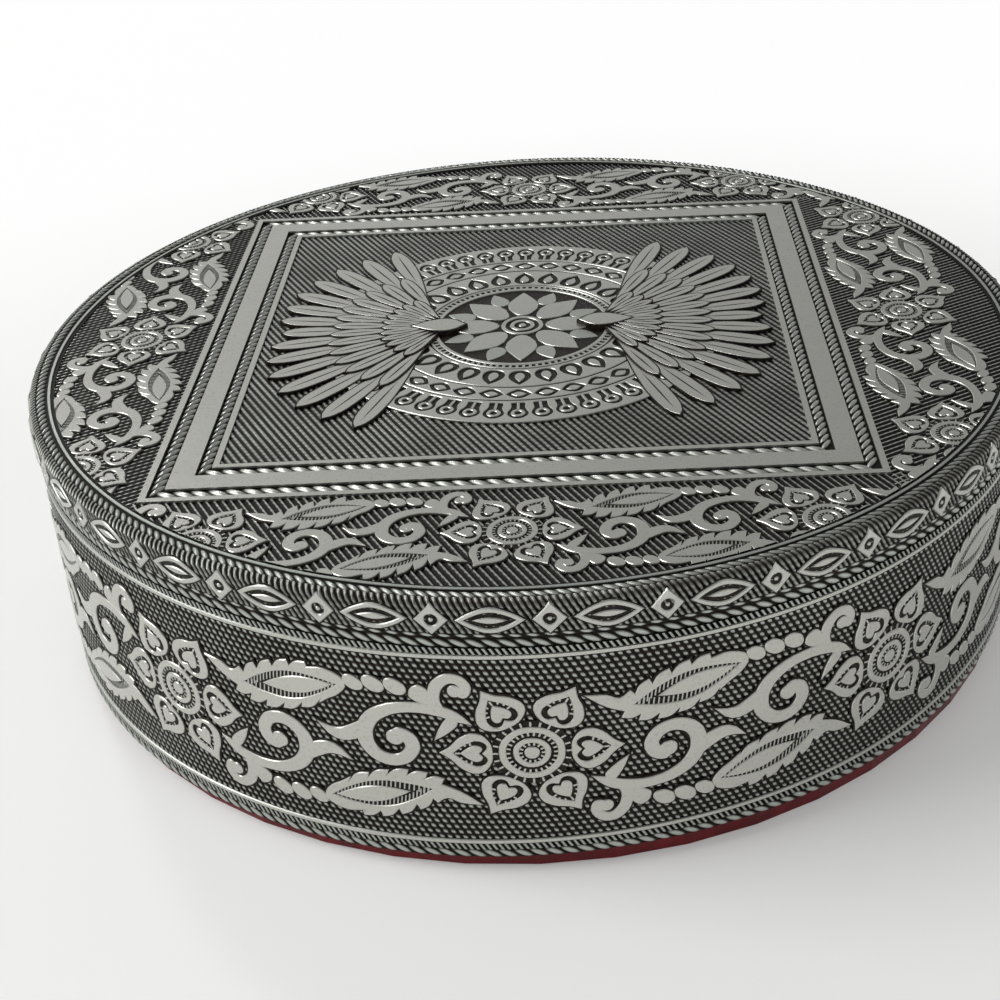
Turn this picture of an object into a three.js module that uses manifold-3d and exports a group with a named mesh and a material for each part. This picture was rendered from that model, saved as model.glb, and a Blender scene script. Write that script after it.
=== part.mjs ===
// Round trinket box: embossed white-metal sheet glued over a board carcass, with a lift-off lid.
// Millimetres, +Z up. The origin is the centre of the underside, and -Y is the front.
// Every sheet is one pressed piece, so its ridges, frames and motifs are fused with its ground.
import * as THREE from 'three';
import { mergeVertices } from 'three/addons/utils/BufferGeometryUtils.js';
import Module from 'manifold-3d';

// Overall sizes
const lidDiameter = 180.6;
const boxHeight = 50.6;
const lidHeight = 6.3;

// Clearances
const glueGap = 0.3;
const seamGap = 0.3;
const collarFit = 0.45;

// Board, card, cloth and sheet thicknesses
const feltThickness = 0.4;
const baseThickness = 3.6;
const hoopThickness = 3.2;
const collarThickness = 1.6;
const liningThickness = 0.8;
const padThickness = 2;
const lidBoardThickness = 2.5;
const lidLiningThickness = 0.6;
const sheetThickness = 0.4;

// Insets and reveals
const wallInset = 0.6;
const feltInset = 3.5;
const boardReveal = 1.8;
const liningSetback = 1.2;
const edgeRound = 0.8;

// Heights of the pressed relief over its ground
const bandRelief = 0.4;
const frameRelief = 0.6;
const medallionRelief = 0.4;
const scrollRelief = 0.6;

// Rope and ridge rows pressed along the edges of the wall strip and the rim band
const ropeWidth = 1.6;
const ridgeWidth = 0.9;
const rimRopeWidth = 0.9;
const rowSpacing = 0.4;
const ridgeInset = 3.3;

// Square panel on the lid: how near its corners come to the flange, and the widths of its frames.
// The sheet was set by hand, so the panel sits a little to the left of the middle and to the front.
const panelCornerGap = 1.29;
const panelOffsetX = -1.8;
const panelOffsetY = -1;
const outerRidgeWidth = 1.1;
const outerRopeWidth = 2.2;
const plainBandWidth = 3.9;
const innerRopeWidth = 2;
const innerRidgeWidth = 1;
const frameGroove = 0.15;

// Scroll strips: one repeat from flower to flower, round the wall and along the lid's four segments
const scrollPitch = 59.6;
const lidScrollPitch = 46.8;
const lidScrollOffset = 12.2;

// Chain of ovals and lozenges round the rim band
const chainLinks = 34;
const chainRise = 3;
const ovalLength = 9.9;
const ovalWidth = 4.2;
const lozengeLength = 4.9;
const lozengeWidth = 4.8;

// Round medallion in the middle of the panel
const medallionRadius = 37.4;
const medallionRimWidth = 1.4;
const medallionPetalWidth = 15;
const medallionStepWidth = 1.2;
const medallionBossRadius = 6;

// Facets round every coaxial piece, so that neighbours keep their gaps all the way round
const roundFacets = 48;
const cornerSteps = 2;
const medallionFacets = 36;

// How far a cutting prism reaches past what it cuts
const overrun = 1;

// Outlines of the scroll, as shares of one repeat, from the middle of its first flower
const petalCount = 6;
const petalShares = [[0.092, 0], [0.146, -0.065], [0.228, 0], [0.146, 0.065]];
const flowerEyeShares = [[0.082, 0], [0.041, 0.071], [-0.041, 0.071], [-0.082, 0], [-0.041, -0.071], [0.041, -0.071]];
const leafShares = [
  [0.451, -0.191],
  [0.52, -0.122],
  [0.735, -0.068],
  [0.869, -0.168],
  [0.72, -0.192],
  [0.535, -0.235],
];
const leafEyeShares = [[0.478, -0.18], [0.6, -0.116], [0.742, -0.12], [0.616, -0.188]];

// The stem's middle line and half width at each station, as shares of one repeat
const stemShares = [
  [0.15, -0.099, 0.008],
  [0.27, -0.139, 0.018],
  [0.385, -0.1, 0.02],
  [0.41, -0.012, 0.022],
  [0.34, 0.034, 0.02],
  [0.3, -0.03, 0.022],
];
const branchMiddleShare = 0.5;

// Corners of the chain's ovals and lozenges, as shares of their half length and half width
const ovalShares = [[-1, 0], [-0.45, -1], [0.45, -1], [1, 0], [0.45, 1], [-0.45, 1]];
const lozengeShares = [[-1, 0], [0, -1], [1, 0], [0, 1]];

// Heights, from the floor up
const baseTop = feltThickness + baseThickness;
const seamLower = boxHeight - lidHeight - seamGap;
const lidLower = boxHeight - lidHeight;
const flangeGround = boxHeight - bandRelief;
const sheetGround = flangeGround - sheetThickness;
const lidBoardTop = sheetGround - sheetThickness;
const lidBoardLower = lidBoardTop - lidBoardThickness;
const collarTop = lidBoardLower - glueGap;

// Radii, from the outside in
const bandOuter = lidDiameter / 2;
const bandGround = bandOuter - bandRelief;
const bandInner = bandGround - sheetThickness;
const lidBoardRadius = bandInner - glueGap;
const wallOuter = bandOuter - wallInset;
const wallGround = wallOuter - bandRelief;
const wallSheetInner = wallGround - sheetThickness;
const carcassRadius = wallSheetInner - glueGap;
const hoopInner = carcassRadius - hoopThickness;
const collarOuter = hoopInner - glueGap;
const collarInner = collarOuter - collarThickness;
const liningOuter = collarInner - glueGap;
const liningInner = liningOuter - liningThickness;
const lidHoopInner = collarOuter + collarFit;
const flangeRidgeOuter = bandGround - edgeRound - ropeWidth - rowSpacing;
const flangeInner = flangeRidgeOuter - ridgeWidth - rowSpacing;
const panelOffset = Math.hypot(panelOffsetX, panelOffsetY);
const panelHalfSide = (flangeInner - panelCornerGap - panelOffset) / Math.SQRT2;
const wallMiddle = (feltThickness + boardReveal + seamLower) / 2;

const materials = {
  metal: new THREE.MeshStandardMaterial({ color: 0xb4bab4, roughness: 0.38, metalness: 0.85 }),
  lacquer: new THREE.MeshStandardMaterial({ color: 0x50080f, roughness: 0.25, metalness: 0 }),
  board: new THREE.MeshStandardMaterial({ color: 0x9a7b56, roughness: 0.85, metalness: 0 }),
  velvet: new THREE.MeshStandardMaterial({ color: 0x5a0d18, roughness: 0.95, metalness: 0 }),
  felt: new THREE.MeshStandardMaterial({ color: 0x3a0a10, roughness: 1, metalness: 0 }),
};

// Revolves a profile of [radius, height] pairs about Z. It runs up its outer side.
function revolved(profile, facets = roundFacets) {
  const points = profile.map(([radius, height]) => new THREE.Vector2(radius, height));
  const geometry = new THREE.LatheGeometry(points, facets);
  geometry.rotateX(Math.PI / 2);
  return weldedPositions(geometry);
}

function weldedPositions(geometry) {
  geometry.deleteAttribute('normal');
  geometry.deleteAttribute('uv');
  return mergeVertices(geometry);
}

// A flat ring with square edges
function hoop(inner, outer, lower, upper) {
  return revolved([[inner, lower], [outer, lower], [outer, upper], [inner, upper], [inner, lower]]);
}

function disc(radius, lower, upper) {
  return revolved([[0, lower], [radius, lower], [radius, upper], [0, upper]]);
}

// A quarter round from the side of a piece over onto its top
function upperRound(radius, upper, round) {
  const points = [];
  for (let step = 0; step <= cornerSteps; step += 1) {
    const turn = (step / cornerSteps) * (Math.PI / 2);
    points.push([radius - round + round * Math.cos(turn), upper - round + round * Math.sin(turn)]);
  }
  return points;
}

// A velvet-covered pad with a soft upper edge
function pad(radius, lower, upper) {
  return revolved([[0, lower], [radius, lower], ...upperRound(radius, upper, edgeRound), [0, upper]]);
}

// The crown points of one pressed row, as [place along the strip, height over the ground]
function rowCrown(start, width, relief) {
  const shoulderShare = 0.25;
  return [
    [start, 0],
    [start + width * shoulderShare, relief],
    [start + width * (1 - shoulderShare), relief],
    [start + width, 0],
  ];
}

// A rope has a round back, so its section is drawn with one crown point
function ropeCrown(start, width, relief) {
  return [[start, 0], [start + width / 2, relief], [start + width, 0]];
}

// The rope and ridge rows of a border, laid from the edge of the sheet inward
function borderRows(edge, direction) {
  const rows = [...ropeCrown(0, ropeWidth, bandRelief), ...rowCrown(ridgeInset, ridgeWidth, bandRelief)];
  return rows.map(([along, rise]) => [edge + direction * along, rise]);
}

function wallGroundSheet() {
  const lower = feltThickness + boardReveal;
  const lowerRows = borderRows(lower, 1);
  const upperRows = borderRows(seamLower, -1).reverse();
  const outside = [...lowerRows, ...upperRows].map(([height, rise]) => [wallGround + rise, height]);
  return revolved([[wallSheetInner, lower], ...outside, [wallSheetInner, seamLower], [wallSheetInner, lower]]);
}

// The rim band runs up the side of the lid and folds over onto the top sheet as a flange.
function rimGroundBand() {
  const side = ropeCrown(lidLower, rimRopeWidth, bandRelief).map(([height, rise]) => [bandGround + rise, height]);
  const fold = upperRound(bandGround, flangeGround, edgeRound);
  const rope = ropeCrown(bandGround - edgeRound, -ropeWidth, bandRelief);
  const ridge = rowCrown(flangeRidgeOuter, -ridgeWidth, bandRelief);
  const flange = [...rope.slice(1), ...ridge].map(([radius, rise]) => [radius, flangeGround + rise]);
  return revolved([
    [bandInner, lidLower],
    ...side,
    ...fold,
    ...flange,
    [flangeInner, flangeGround],
    [flangeInner, sheetGround],
    [bandInner, sheetGround],
    [bandInner, lidLower],
  ]);
}

const wasm = await Module();
wasm.setup();

function solidOf(geometry) {
  const vertProperties = new Float32Array(geometry.attributes.position.array);
  const triVerts = new Uint32Array(geometry.index.array);
  return new wasm.Manifold(new wasm.Mesh({ numProp: 3, vertProperties, triVerts }));
}

function geometryOf(solid) {
  const { vertProperties, triVerts } = solid.getMesh();
  const geometry = new THREE.BufferGeometry();
  geometry.setAttribute('position', new THREE.BufferAttribute(vertProperties, 3));
  geometry.setIndex(new THREE.BufferAttribute(triVerts, 1));
  return geometry;
}

// A square frame standing on the lid's sheet, rooted halfway into it
function squareFrame(outerHalf, width, relief) {
  const shape = squareShape(outerHalf);
  shape.holes.push(squareShape(outerHalf - width));
  const root = sheetThickness / 2;
  const geometry = new THREE.ExtrudeGeometry(shape, { depth: relief + root, bevelEnabled: false });
  geometry.translate(panelOffsetX, panelOffsetY, sheetGround - root);
  return weldedPositions(geometry);
}

function squareShape(half) {
  return new THREE.Shape([
    new THREE.Vector2(-half, -half),
    new THREE.Vector2(half, -half),
    new THREE.Vector2(half, half),
    new THREE.Vector2(-half, half),
  ]);
}

// The frames of the panel, from the outside in
function panelFrames() {
  const rows = [
    [outerRidgeWidth, frameRelief],
    [outerRopeWidth, frameRelief * 0.7],
    [plainBandWidth, frameRelief],
    [innerRopeWidth, frameRelief * 0.7],
    [innerRidgeWidth, frameRelief],
  ];
  const frames = [];
  let outerHalf = panelHalfSide;
  for (const [width, relief] of rows) {
    frames.push(squareFrame(outerHalf, width, relief));
    outerHalf -= width + frameGroove;
  }
  return frames;
}

// Concentric rims and steps of the medallion, rooted halfway into the sheet
function medallion() {
  const root = sheetGround - sheetThickness / 2;
  const low = sheetGround + medallionRelief / 2;
  const high = sheetGround + medallionRelief;
  const rimInner = medallionRadius - medallionRimWidth;
  const stepOuter = rimInner - medallionPetalWidth;
  const stepInner = stepOuter - medallionStepWidth;
  return revolved([
    [0, root],
    [medallionRadius, root],
    [medallionRadius, high],
    [rimInner, high],
    [rimInner, low],
    [stepOuter, low],
    [stepOuter, high],
    [stepInner, high],
    [stepInner, low],
    [medallionBossRadius, low],
    [medallionBossRadius, high],
    [0, high],
  ], medallionFacets);
}

function outlineOf(shares, size) {
  return new wasm.CrossSection([shares.map(([x, y]) => [x * size, y * size])], 'NonZero');
}

function turned(shares, angle) {
  const cos = Math.cos(angle);
  const sin = Math.sin(angle);
  return shares.map(([x, y]) => [x * cos - y * sin, x * sin + y * cos]);
}

// The outline of a stroke from its middle line and its half width at each station
function strokeShares(stations) {
  const left = [];
  const right = [];
  stations.forEach(([x, y, half], index) => {
    const before = stations[Math.max(index - 1, 0)];
    const after = stations[Math.min(index + 1, stations.length - 1)];
    const length = Math.hypot(after[0] - before[0], after[1] - before[1]);
    const acrossX = (-(after[1] - before[1]) / length) * half;
    const acrossY = ((after[0] - before[0]) / length) * half;
    left.push([x + acrossX, y + acrossY]);
    right.unshift([x - acrossX, y - acrossY]);
  });
  return [...left, ...right];
}

// A six-petalled flower about its own middle
function flowerShape(pitch) {
  const shapes = [outlineOf(flowerEyeShares, pitch)];
  for (let petal = 0; petal < petalCount; petal += 1) {
    shapes.push(outlineOf(turned(petalShares, (petal / petalCount) * 2 * Math.PI), pitch));
  }
  return wasm.CrossSection.union(shapes);
}

// The two stems and leaves between a flower and the next, about the middle between them.
// One is the other turned half round.
function branchShape(pitch) {
  const shapes = [];
  for (const angle of [0, Math.PI]) {
    const placed = (shares) => turned(shares.map(([x, y]) => [x - branchMiddleShare, y]), angle);
    shapes.push(outlineOf(placed(leafShares), pitch).subtract(outlineOf(placed(leafEyeShares), pitch)));
    shapes.push(outlineOf(placed(strokeShares(stemShares)), pitch));
  }
  return wasm.CrossSection.union(shapes);
}

// A prism that stands out from the axis towards an azimuth. The front is at zero, and what passes
// the back is cut off there, where the two ends of a strip meet.
function radialPrism(shape, azimuth, height) {
  const turn = THREE.MathUtils.radToDeg(azimuth);
  const prism = shape.extrude(bandOuter + overrun).rotate([90, 0, 0]).translate([0, 0, height]);
  const placed = prism.rotate([0, 0, turn]);
  return Math.abs(azimuth) > Math.PI / 2 ? placed.trimByPlane([Math.sign(azimuth), 0, 0], 0) : placed;
}

// The scroll follows the facets of the wall, because it is cut from a thin shell round it.
function wallSheet() {
  const turn = scrollPitch / wallGround;
  const reach = Math.ceil(Math.PI / turn);
  const prisms = [];
  for (let cell = -reach; cell < reach; cell += 1) {
    prisms.push(radialPrism(flowerShape(scrollPitch), cell * turn, wallMiddle));
    prisms.push(radialPrism(branchShape(scrollPitch), (cell + branchMiddleShare) * turn, wallMiddle));
  }
  const shell = hoop(wallGround - sheetThickness / 2, wallGround + scrollRelief, feltThickness + boardReveal, seamLower);
  const scroll = wasm.Manifold.union(prisms).intersect(solidOf(shell));
  return geometryOf(solidOf(wallGroundSheet()).add(scroll));
}

// Ovals and lozenges by turns on the side of the band, up to its fold
function rimBand() {
  const oval = outlineOf(ovalShares, 1).scale([ovalLength / 2, ovalWidth / 2]);
  const lozenge = outlineOf(lozengeShares, 1).scale([lozengeLength / 2, lozengeWidth / 2]);
  const prisms = [];
  for (let link = 0; link < chainLinks; link += 1) {
    const azimuth = ((link / chainLinks) * 2 - 1) * Math.PI;
    prisms.push(radialPrism(oval, azimuth, lidLower + chainRise));
    prisms.push(radialPrism(lozenge, azimuth + Math.PI / chainLinks, lidLower + chainRise));
  }
  const shell = hoop(bandGround - sheetThickness / 2, bandOuter, lidLower, flangeGround - edgeRound);
  const chain = wasm.Manifold.union(prisms).intersect(solidOf(shell));
  return geometryOf(solidOf(rimGroundBand()).add(chain));
}

// The scroll in the four segments between the panel and the flange, clear of the flange
function lidScroll() {
  const root = sheetGround - sheetThickness / 2;
  const depth = sheetThickness / 2 + scrollRelief;
  const reach = Math.ceil(flangeInner / lidScrollPitch);
  const cells = [];
  for (let cell = -reach; cell < reach; cell += 1) {
    const start = cell * lidScrollPitch;
    cells.push(flowerShape(lidScrollPitch).extrude(depth).translate([start, 0, 0]));
    const middle = start + branchMiddleShare * lidScrollPitch;
    cells.push(branchShape(lidScrollPitch).extrude(depth).translate([middle, 0, 0]));
  }
  const strip = wasm.Manifold.union(cells).translate([0, -panelHalfSide - lidScrollOffset, root]);
  const strips = [0, 90, 180, 270].map((angle) => strip.rotate([0, 0, angle]));
  const placed = wasm.Manifold.union(strips).translate([panelOffsetX, panelOffsetY, 0]);
  return placed.intersect(solidOf(disc(flangeInner - glueGap, lidBoardTop, boxHeight)));
}

function lidTopSheet() {
  const sheetRadius = bandInner - glueGap;
  let solid = solidOf(disc(sheetRadius, lidBoardTop, sheetGround));
  for (const frame of panelFrames()) {
    solid = solid.add(solidOf(frame));
  }
  const round = medallion();
  round.translate(panelOffsetX, panelOffsetY, 0);
  solid = solid.add(solidOf(round)).add(lidScroll());
  return geometryOf(solid);
}

function named(name, geometry, material) {
  geometry.computeVertexNormals();
  const mesh = new THREE.Mesh(geometry, material);
  mesh.name = name;
  return mesh;
}

const box = new THREE.Group();
box.add(named('base_felt', disc(carcassRadius - feltInset, 0, feltThickness), materials.felt));
box.add(named('base_board', disc(carcassRadius, feltThickness, baseTop), materials.lacquer));
box.add(named('wall_hoop', hoop(hoopInner, carcassRadius, baseTop, seamLower), materials.board));
box.add(named('wall_sheet', wallSheet(), materials.metal));
box.add(named('locating_collar', hoop(collarInner, collarOuter, baseTop, collarTop), materials.velvet));
const liningTop = collarTop - liningSetback;
box.add(named('wall_lining', hoop(liningInner, liningOuter, baseTop, liningTop), materials.velvet));
const padTop = baseTop + padThickness;
box.add(named('floor_pad', pad(liningInner - glueGap, baseTop, padTop), materials.velvet));

const lid = new THREE.Group();
lid.add(named('lid_board', disc(lidBoardRadius, lidBoardLower, lidBoardTop), materials.board));
lid.add(named('lid_hoop', hoop(lidHoopInner, lidBoardRadius, lidLower, lidBoardLower), materials.board));
lid.add(named('lid_top_sheet', lidTopSheet(), materials.metal));
lid.add(named('lid_rim_band', rimBand(), materials.metal));
const lidLiningLower = lidBoardLower - lidLiningThickness;
const lidLining = disc(collarInner - glueGap, lidLiningLower, lidBoardLower);
lid.add(named('lid_lining', lidLining, materials.velvet));

const group = new THREE.Group();
group.add(box, lid);
export default group;
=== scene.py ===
"""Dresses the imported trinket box: pressed white metal, red lacquer, board, velvet and felt."""

import functools
from math import atan2, ceil, cos, pi, radians, sin, tau

import bmesh
import bpy
from bpy.props import FloatProperty, FloatVectorProperty, IntProperty, PointerProperty
from mathutils import Matrix, Vector


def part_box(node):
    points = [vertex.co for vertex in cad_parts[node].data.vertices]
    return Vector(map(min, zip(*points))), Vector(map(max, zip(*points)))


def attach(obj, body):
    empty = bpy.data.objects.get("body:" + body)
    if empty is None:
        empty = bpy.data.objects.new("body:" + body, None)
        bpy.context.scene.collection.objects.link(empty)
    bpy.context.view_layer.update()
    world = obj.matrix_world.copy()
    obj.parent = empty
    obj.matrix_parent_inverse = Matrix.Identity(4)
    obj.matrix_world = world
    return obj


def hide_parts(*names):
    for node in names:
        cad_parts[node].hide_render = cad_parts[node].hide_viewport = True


bl_info = {
    "name": "Pressed Metal Trinket Box",
    "version": (1, 0, 0),
    "blender": (4, 5, 0),
    "location": "View3D > Sidebar > Trinket Box",
    "description": "Builds the pressed sheets, linings and finishes of a round trinket box on its frame",
    "category": "Add Mesh",
}

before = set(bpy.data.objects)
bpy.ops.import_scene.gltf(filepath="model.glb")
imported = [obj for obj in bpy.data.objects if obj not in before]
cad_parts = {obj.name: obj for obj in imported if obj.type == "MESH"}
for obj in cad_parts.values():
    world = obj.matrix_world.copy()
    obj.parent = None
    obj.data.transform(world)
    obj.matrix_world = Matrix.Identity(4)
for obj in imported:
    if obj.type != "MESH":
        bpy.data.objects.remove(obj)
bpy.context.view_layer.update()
MM = 0.001


def extent(node):
    """A round node's lower end, upper end and radius, in millimetres."""
    lower, upper = (Vector(corner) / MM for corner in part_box(node))
    return lower.z, upper.z, upper.x


# Heights and radii that the frame gives
LID_LOWER, LID_TOP, LID_RADIUS = extent("lid_rim_band")
BOARD_TOP, BOARD_RADIUS = extent("lid_board")[1:]
WALL_LOWER, WALL_UPPER, WALL_RADIUS = extent("wall_sheet")

# The inner edge of the rim's flange and the thickness of the wall's lining, which no box of a node gives
FLANGE_INNER = 85.8
LINING = 0.8

# The vertex attribute that holds how far the metal stands out
PRESSED = "relief"

# Edges up to this many degrees are smooth, and on the knurled fields all are
SMOOTH_ANGLE = 38
ALL_SMOOTH = 180

# How far right of the front the wall strip's lower edge rises most, and the share of the rise that wobbles
RISE_AT = radians(50)
RISE_WOBBLE = 0.06


def linear(code):
    """Turns an sRGB hex value into linear red, green, blue and alpha."""
    channels = [int(code[i : i + 2], 16) / 255 for i in (0, 2, 4)]
    values = [c / 12.92 if c <= 0.04045 else ((c + 0.055) / 1.055) ** 2.4 for c in channels]
    return (*values, 1.0)


def measure(name, description, default):
    """One measure of the pressed work for the sidebar."""
    return FloatProperty(name=name, description=description, default=default)


def colour(name, description, code):
    """One finish's colour for the sidebar, from its sRGB hex value."""
    settings = {"subtype": "COLOR", "size": 4, "min": 0.0, "max": 1.0, "default": linear(code)}
    return FloatVectorProperty(name=name, description=description, **settings)


class BoxSizes(bpy.types.PropertyGroup):
    """Sizes of the pressed work, in millimetres."""

    relief: measure("Relief", "Height of rows over their ground", 0.4)
    sheet: measure("Sheet", "Thickness of the metal sheet", 0.4)
    crown: measure("Crown", "Height of the scroll work", 0.6)
    # Height of the dark plate under a motif, which is oxide in its holes and a painted shadow round its
    # outline
    shadow_floor: measure("Moat", "Height of the dark ground round a motif", 0.34)
    knurl_x: measure("Knurl pitch along", "Width of a knurl cell", 1.2)
    knurl_y: measure("Knurl pitch across", "Height of a knurl cell", 1.05)
    lean: measure("Knurl lean", "Slant of the knurl's steep lines, as a share of their height", -0.56)
    knurl_rise: measure("Knurl rise", "Height of the knurl", 0.3)
    wander: measure("Wander", "How far the wall strip's lower edge rises", 1.65)
    strip_pitch: measure("Flower spacing", "One repeat of the scroll strip", 59.6)
    lid_scale: measure("Lid scroll scale", "Lid scroll as a share of the wall scroll", 0.785)
    strip_out: measure("Lid flower place", "Panel centre to lid flowers", 70.5)
    panel_half: measure("Panel half side", "Outer half side of the panel", 58.3)
    panel_x: measure("Panel offset X", "How far the panel sits off centre", -1.8)
    panel_y: measure("Panel offset Y", "How far the panel sits off centre", -1.0)
    medallion: measure("Medallion radius", "Outer radius of the medallion", 37.4)
    chain_pairs: IntProperty(name="Chain pairs", description="Ovals and lozenges round the rim", default=34)
    rounds: IntProperty(name="Round steps", description="Steps round the coaxial pieces", default=192)


class BoxColours(bpy.types.PropertyGroup):
    """Colours of the finishes."""

    metal: colour("Metal", "Polished relief", "c2c2bb")
    metal_worn: colour("Worn metal", "Metal dulled by handling", "a9aea8")
    oxide: colour("Oxide", "Oxidised ground", "1b1a18")
    oxide_warm: colour("Warm oxide", "Brownish oxide", "3a342d")
    lacquer: colour("Lacquer", "Dark red edge", "6a0914")
    board: colour("Board", "Raw fibreboard", "9c7f5c")
    velvet: colour("Velvet", "Lining velvet", "5b0d18")
    felt: colour("Felt", "Felt under the base", "3b0a11")
    paper: colour("Stage paper", "Pale studio paper", "f9f9f7")


# Materials


def add_node(tree, kind, settings=None, links=None):
    """Adds one shader node, with its settings by attribute or socket name, and its links."""
    node = tree.nodes.new(f"ShaderNode{kind}")
    for key, value in (settings or {}).items():
        if isinstance(key, str) and hasattr(node, key):
            setattr(node, key, value)
        else:
            enabled_socket(node.inputs, key).default_value = value
    for key, source in (links or {}).items():
        tree.links.new(source, enabled_socket(node.inputs, key))
    return node


def enabled_socket(sockets, key):
    """The socket with this number, or the one in use with this name."""
    if isinstance(key, int):
        return sockets[key]
    return next(socket for socket in sockets if socket.enabled and socket.name == key)


def added(tree, kind, settings=None, links=None):
    """Adds one shader node and hands back its first output in use."""
    return next(socket for socket in add_node(tree, kind, settings, links).outputs if socket.enabled)


def noise(tree, grain, detail=3.0, roughness=0.5):
    """Noise in the piece's own space, with grains of this many millimetres."""
    place = add_node(tree, "TexCoord").outputs["Object"]
    settings = {"Scale": 1 / (grain * MM), "Detail": detail, "Roughness": roughness}
    return added(tree, "TexNoise", settings, {"Vector": place})


def remapped(tree, value, to, start=(0.0, 1.0), blend="LINEAR"):
    """A value brought from one range into another."""
    ends = {"From Min": start[0], "From Max": start[1], "To Min": to[0], "To Max": to[1]}
    return added(tree, "MapRange", {"interpolation_type": blend, **ends}, {"Value": value})


def maths(tree, operation, first, second):
    """Two values put together by an operation."""
    return added(tree, "Math", {"operation": operation}, {0: first, 1: second})


def toned(tree, value, stops):
    """The colours of a ramp that a value runs along."""
    ramp = add_node(tree, "ValToRGB", links={"Fac": value})
    elements = ramp.color_ramp.elements
    while len(elements) < len(stops):
        elements.new(0.5)
    for element, (place, shade) in zip(elements, stops):
        element.position = place
        element.color = shade
    return ramp.outputs["Color"]


def bumped(tree, height, strength, depth, under=None):
    """A bump of this many millimetres, laid over another where one is given."""
    links = {"Height": height} if under is None else {"Height": height, "Normal": under}
    return added(tree, "Bump", {"Strength": strength, "Distance": depth * MM}, links)


def deepened(shade, share):
    """A colour made darker, or lighter by a share over one."""
    return (*[min(1.0, channel * share) for channel in shade[:3]], 1.0)


def principled(tree, values, links=None):
    """The surface of a finish."""
    return added(tree, "BsdfPrincipled", values, links)


def pressed_metal(tree, colours):
    """Pressed white metal, blackened in a bath and buffed: dark grounds, bright crowns."""
    relief = add_node(tree, "Attribute", {"attribute_name": PRESSED}).outputs["Fac"]
    # Buffing reaches the crowns unevenly, in patches of about 12 mm
    reach = maths(tree, "ADD", relief, remapped(tree, noise(tree, 12), to=(-0.1, 0.1)))
    shades = (colours.oxide, colours.oxide_warm, colours.metal_worn, colours.metal)
    tone = toned(tree, reach, list(zip((0.08, 0.3, 0.55, 0.9), shades)))
    # Grains of oxide of about 0.5 mm are left on the buffed metal
    grains = noise(tree, 0.5, detail=2.0)
    speck = remapped(tree, grains, start=(0.3, 0.45), to=(0.86, 1.0))
    mixing = {"data_type": "RGBA", "blend_type": "MULTIPLY", "Factor": 1.0}
    # The thin sheet is never flat: soft dents of a few millimetres and a fine press texture
    dents = bumped(tree, noise(tree, 5, detail=1.0), strength=0.25, depth=0.25)
    links = {
        "Base Color": added(tree, "Mix", mixing, {"A": tone, "B": speck}),
        "Metallic": remapped(tree, reach, to=(0.85, 0.95)),
        "Roughness": remapped(tree, reach, to=(0.55, 0.26)),
        "Normal": bumped(tree, grains, strength=0.2, depth=0.03, under=dents),
    }
    return principled(tree, {}, links)


def oxide_and_shadow_floor(tree, colours):
    """The blackened floor in hearts, eyes and rings, which no buffing reaches, and painted shadow round
    motifs.
    """
    tone = toned(tree, noise(tree, 0.8), [(0.35, colours.oxide), (0.75, colours.oxide_warm)])
    return principled(tree, {"Metallic": 0.85, "Roughness": 0.5}, {"Base Color": tone})


def red_lacquer(tree, colours):
    """Dark red lacquer brushed over the edge of the base, glossy with slight drag marks."""
    drag = noise(tree, 3)
    tone = toned(tree, drag, [(0.35, deepened(colours.lacquer, 0.6)), (0.65, colours.lacquer)])
    links = {"Base Color": tone, "Normal": bumped(tree, drag, strength=0.2, depth=0.1)}
    return principled(tree, {"Roughness": 0.3, "Specular IOR Level": 0.25}, links)


def fibreboard(tree, colours):
    """Raw fibreboard: short pressed fibres of about a millimetre, matt and dusty."""
    fibres = noise(tree, 0.9, detail=5.0, roughness=0.7)
    tone = toned(tree, fibres, [(0.3, deepened(colours.board, 0.62)), (0.7, colours.board)])
    links = {"Base Color": tone, "Normal": bumped(tree, fibres, strength=0.4, depth=0.15)}
    return principled(tree, {"Roughness": 0.88}, links)


def pile(tree, shade, tuft, sheen):
    """Cut pile or felt, with painted shade between the tufts, lighter painted tips and a soft edge sheen."""
    tufts = noise(tree, tuft)
    # The nap lies this way and that in patches of about 14 mm, painted lighter and darker as sheen and shade
    nap_sheen = noise(tree, 14, detail=2.0)
    tuft_shade_and_nap_sheen = added(tree, "Math", {"operation": "MULTIPLY_ADD", 1: 0.4}, {0: nap_sheen, 2: tufts})
    # The dark end is painted shade between the tufts and the light end a painted sheen on their tips
    tone = toned(tree, tuft_shade_and_nap_sheen, [(0.4, deepened(shade, 0.45)), (0.7, shade), (1.0, deepened(shade, 1.35))])
    links = {"Base Color": tone, "Normal": bumped(tree, tufts, strength=0.6, depth=tuft * 0.4)}
    return principled(tree, {"Roughness": 0.95, "Sheen Weight": sheen, "Sheen Roughness": 0.4}, links)


def studio_paper(tree, colours):
    """Pale paper that shows as plain white to the eye and in reflections, away from the box."""
    paper = principled(tree, {"Base Color": colours.paper, "Roughness": 0.9})
    place = add_node(tree, "TexCoord").outputs["Object"]
    away = added(tree, "VectorMath", {"operation": "LENGTH"}, {0: place})
    # The paper turns white between 12 and 28 cm from the box's axis
    white = remapped(tree, away, start=(0.12, 0.28), to=(0.2, 0.95), blend="SMOOTHSTEP")
    rays = add_node(tree, "LightPath").outputs
    seen = rays["Is Camera Ray"]
    for ray in ("Is Glossy Ray", "Is Transmission Ray"):
        seen = maths(tree, "MAXIMUM", seen, rays[ray])
    plain = added(tree, "Emission", {"Color": (1, 1, 1, 1), "Strength": 1.0})
    mixed = {0: maths(tree, "MULTIPLY", white, seen), 1: paper, 2: plain}
    return added(tree, "MixShader", links=mixed)


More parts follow.
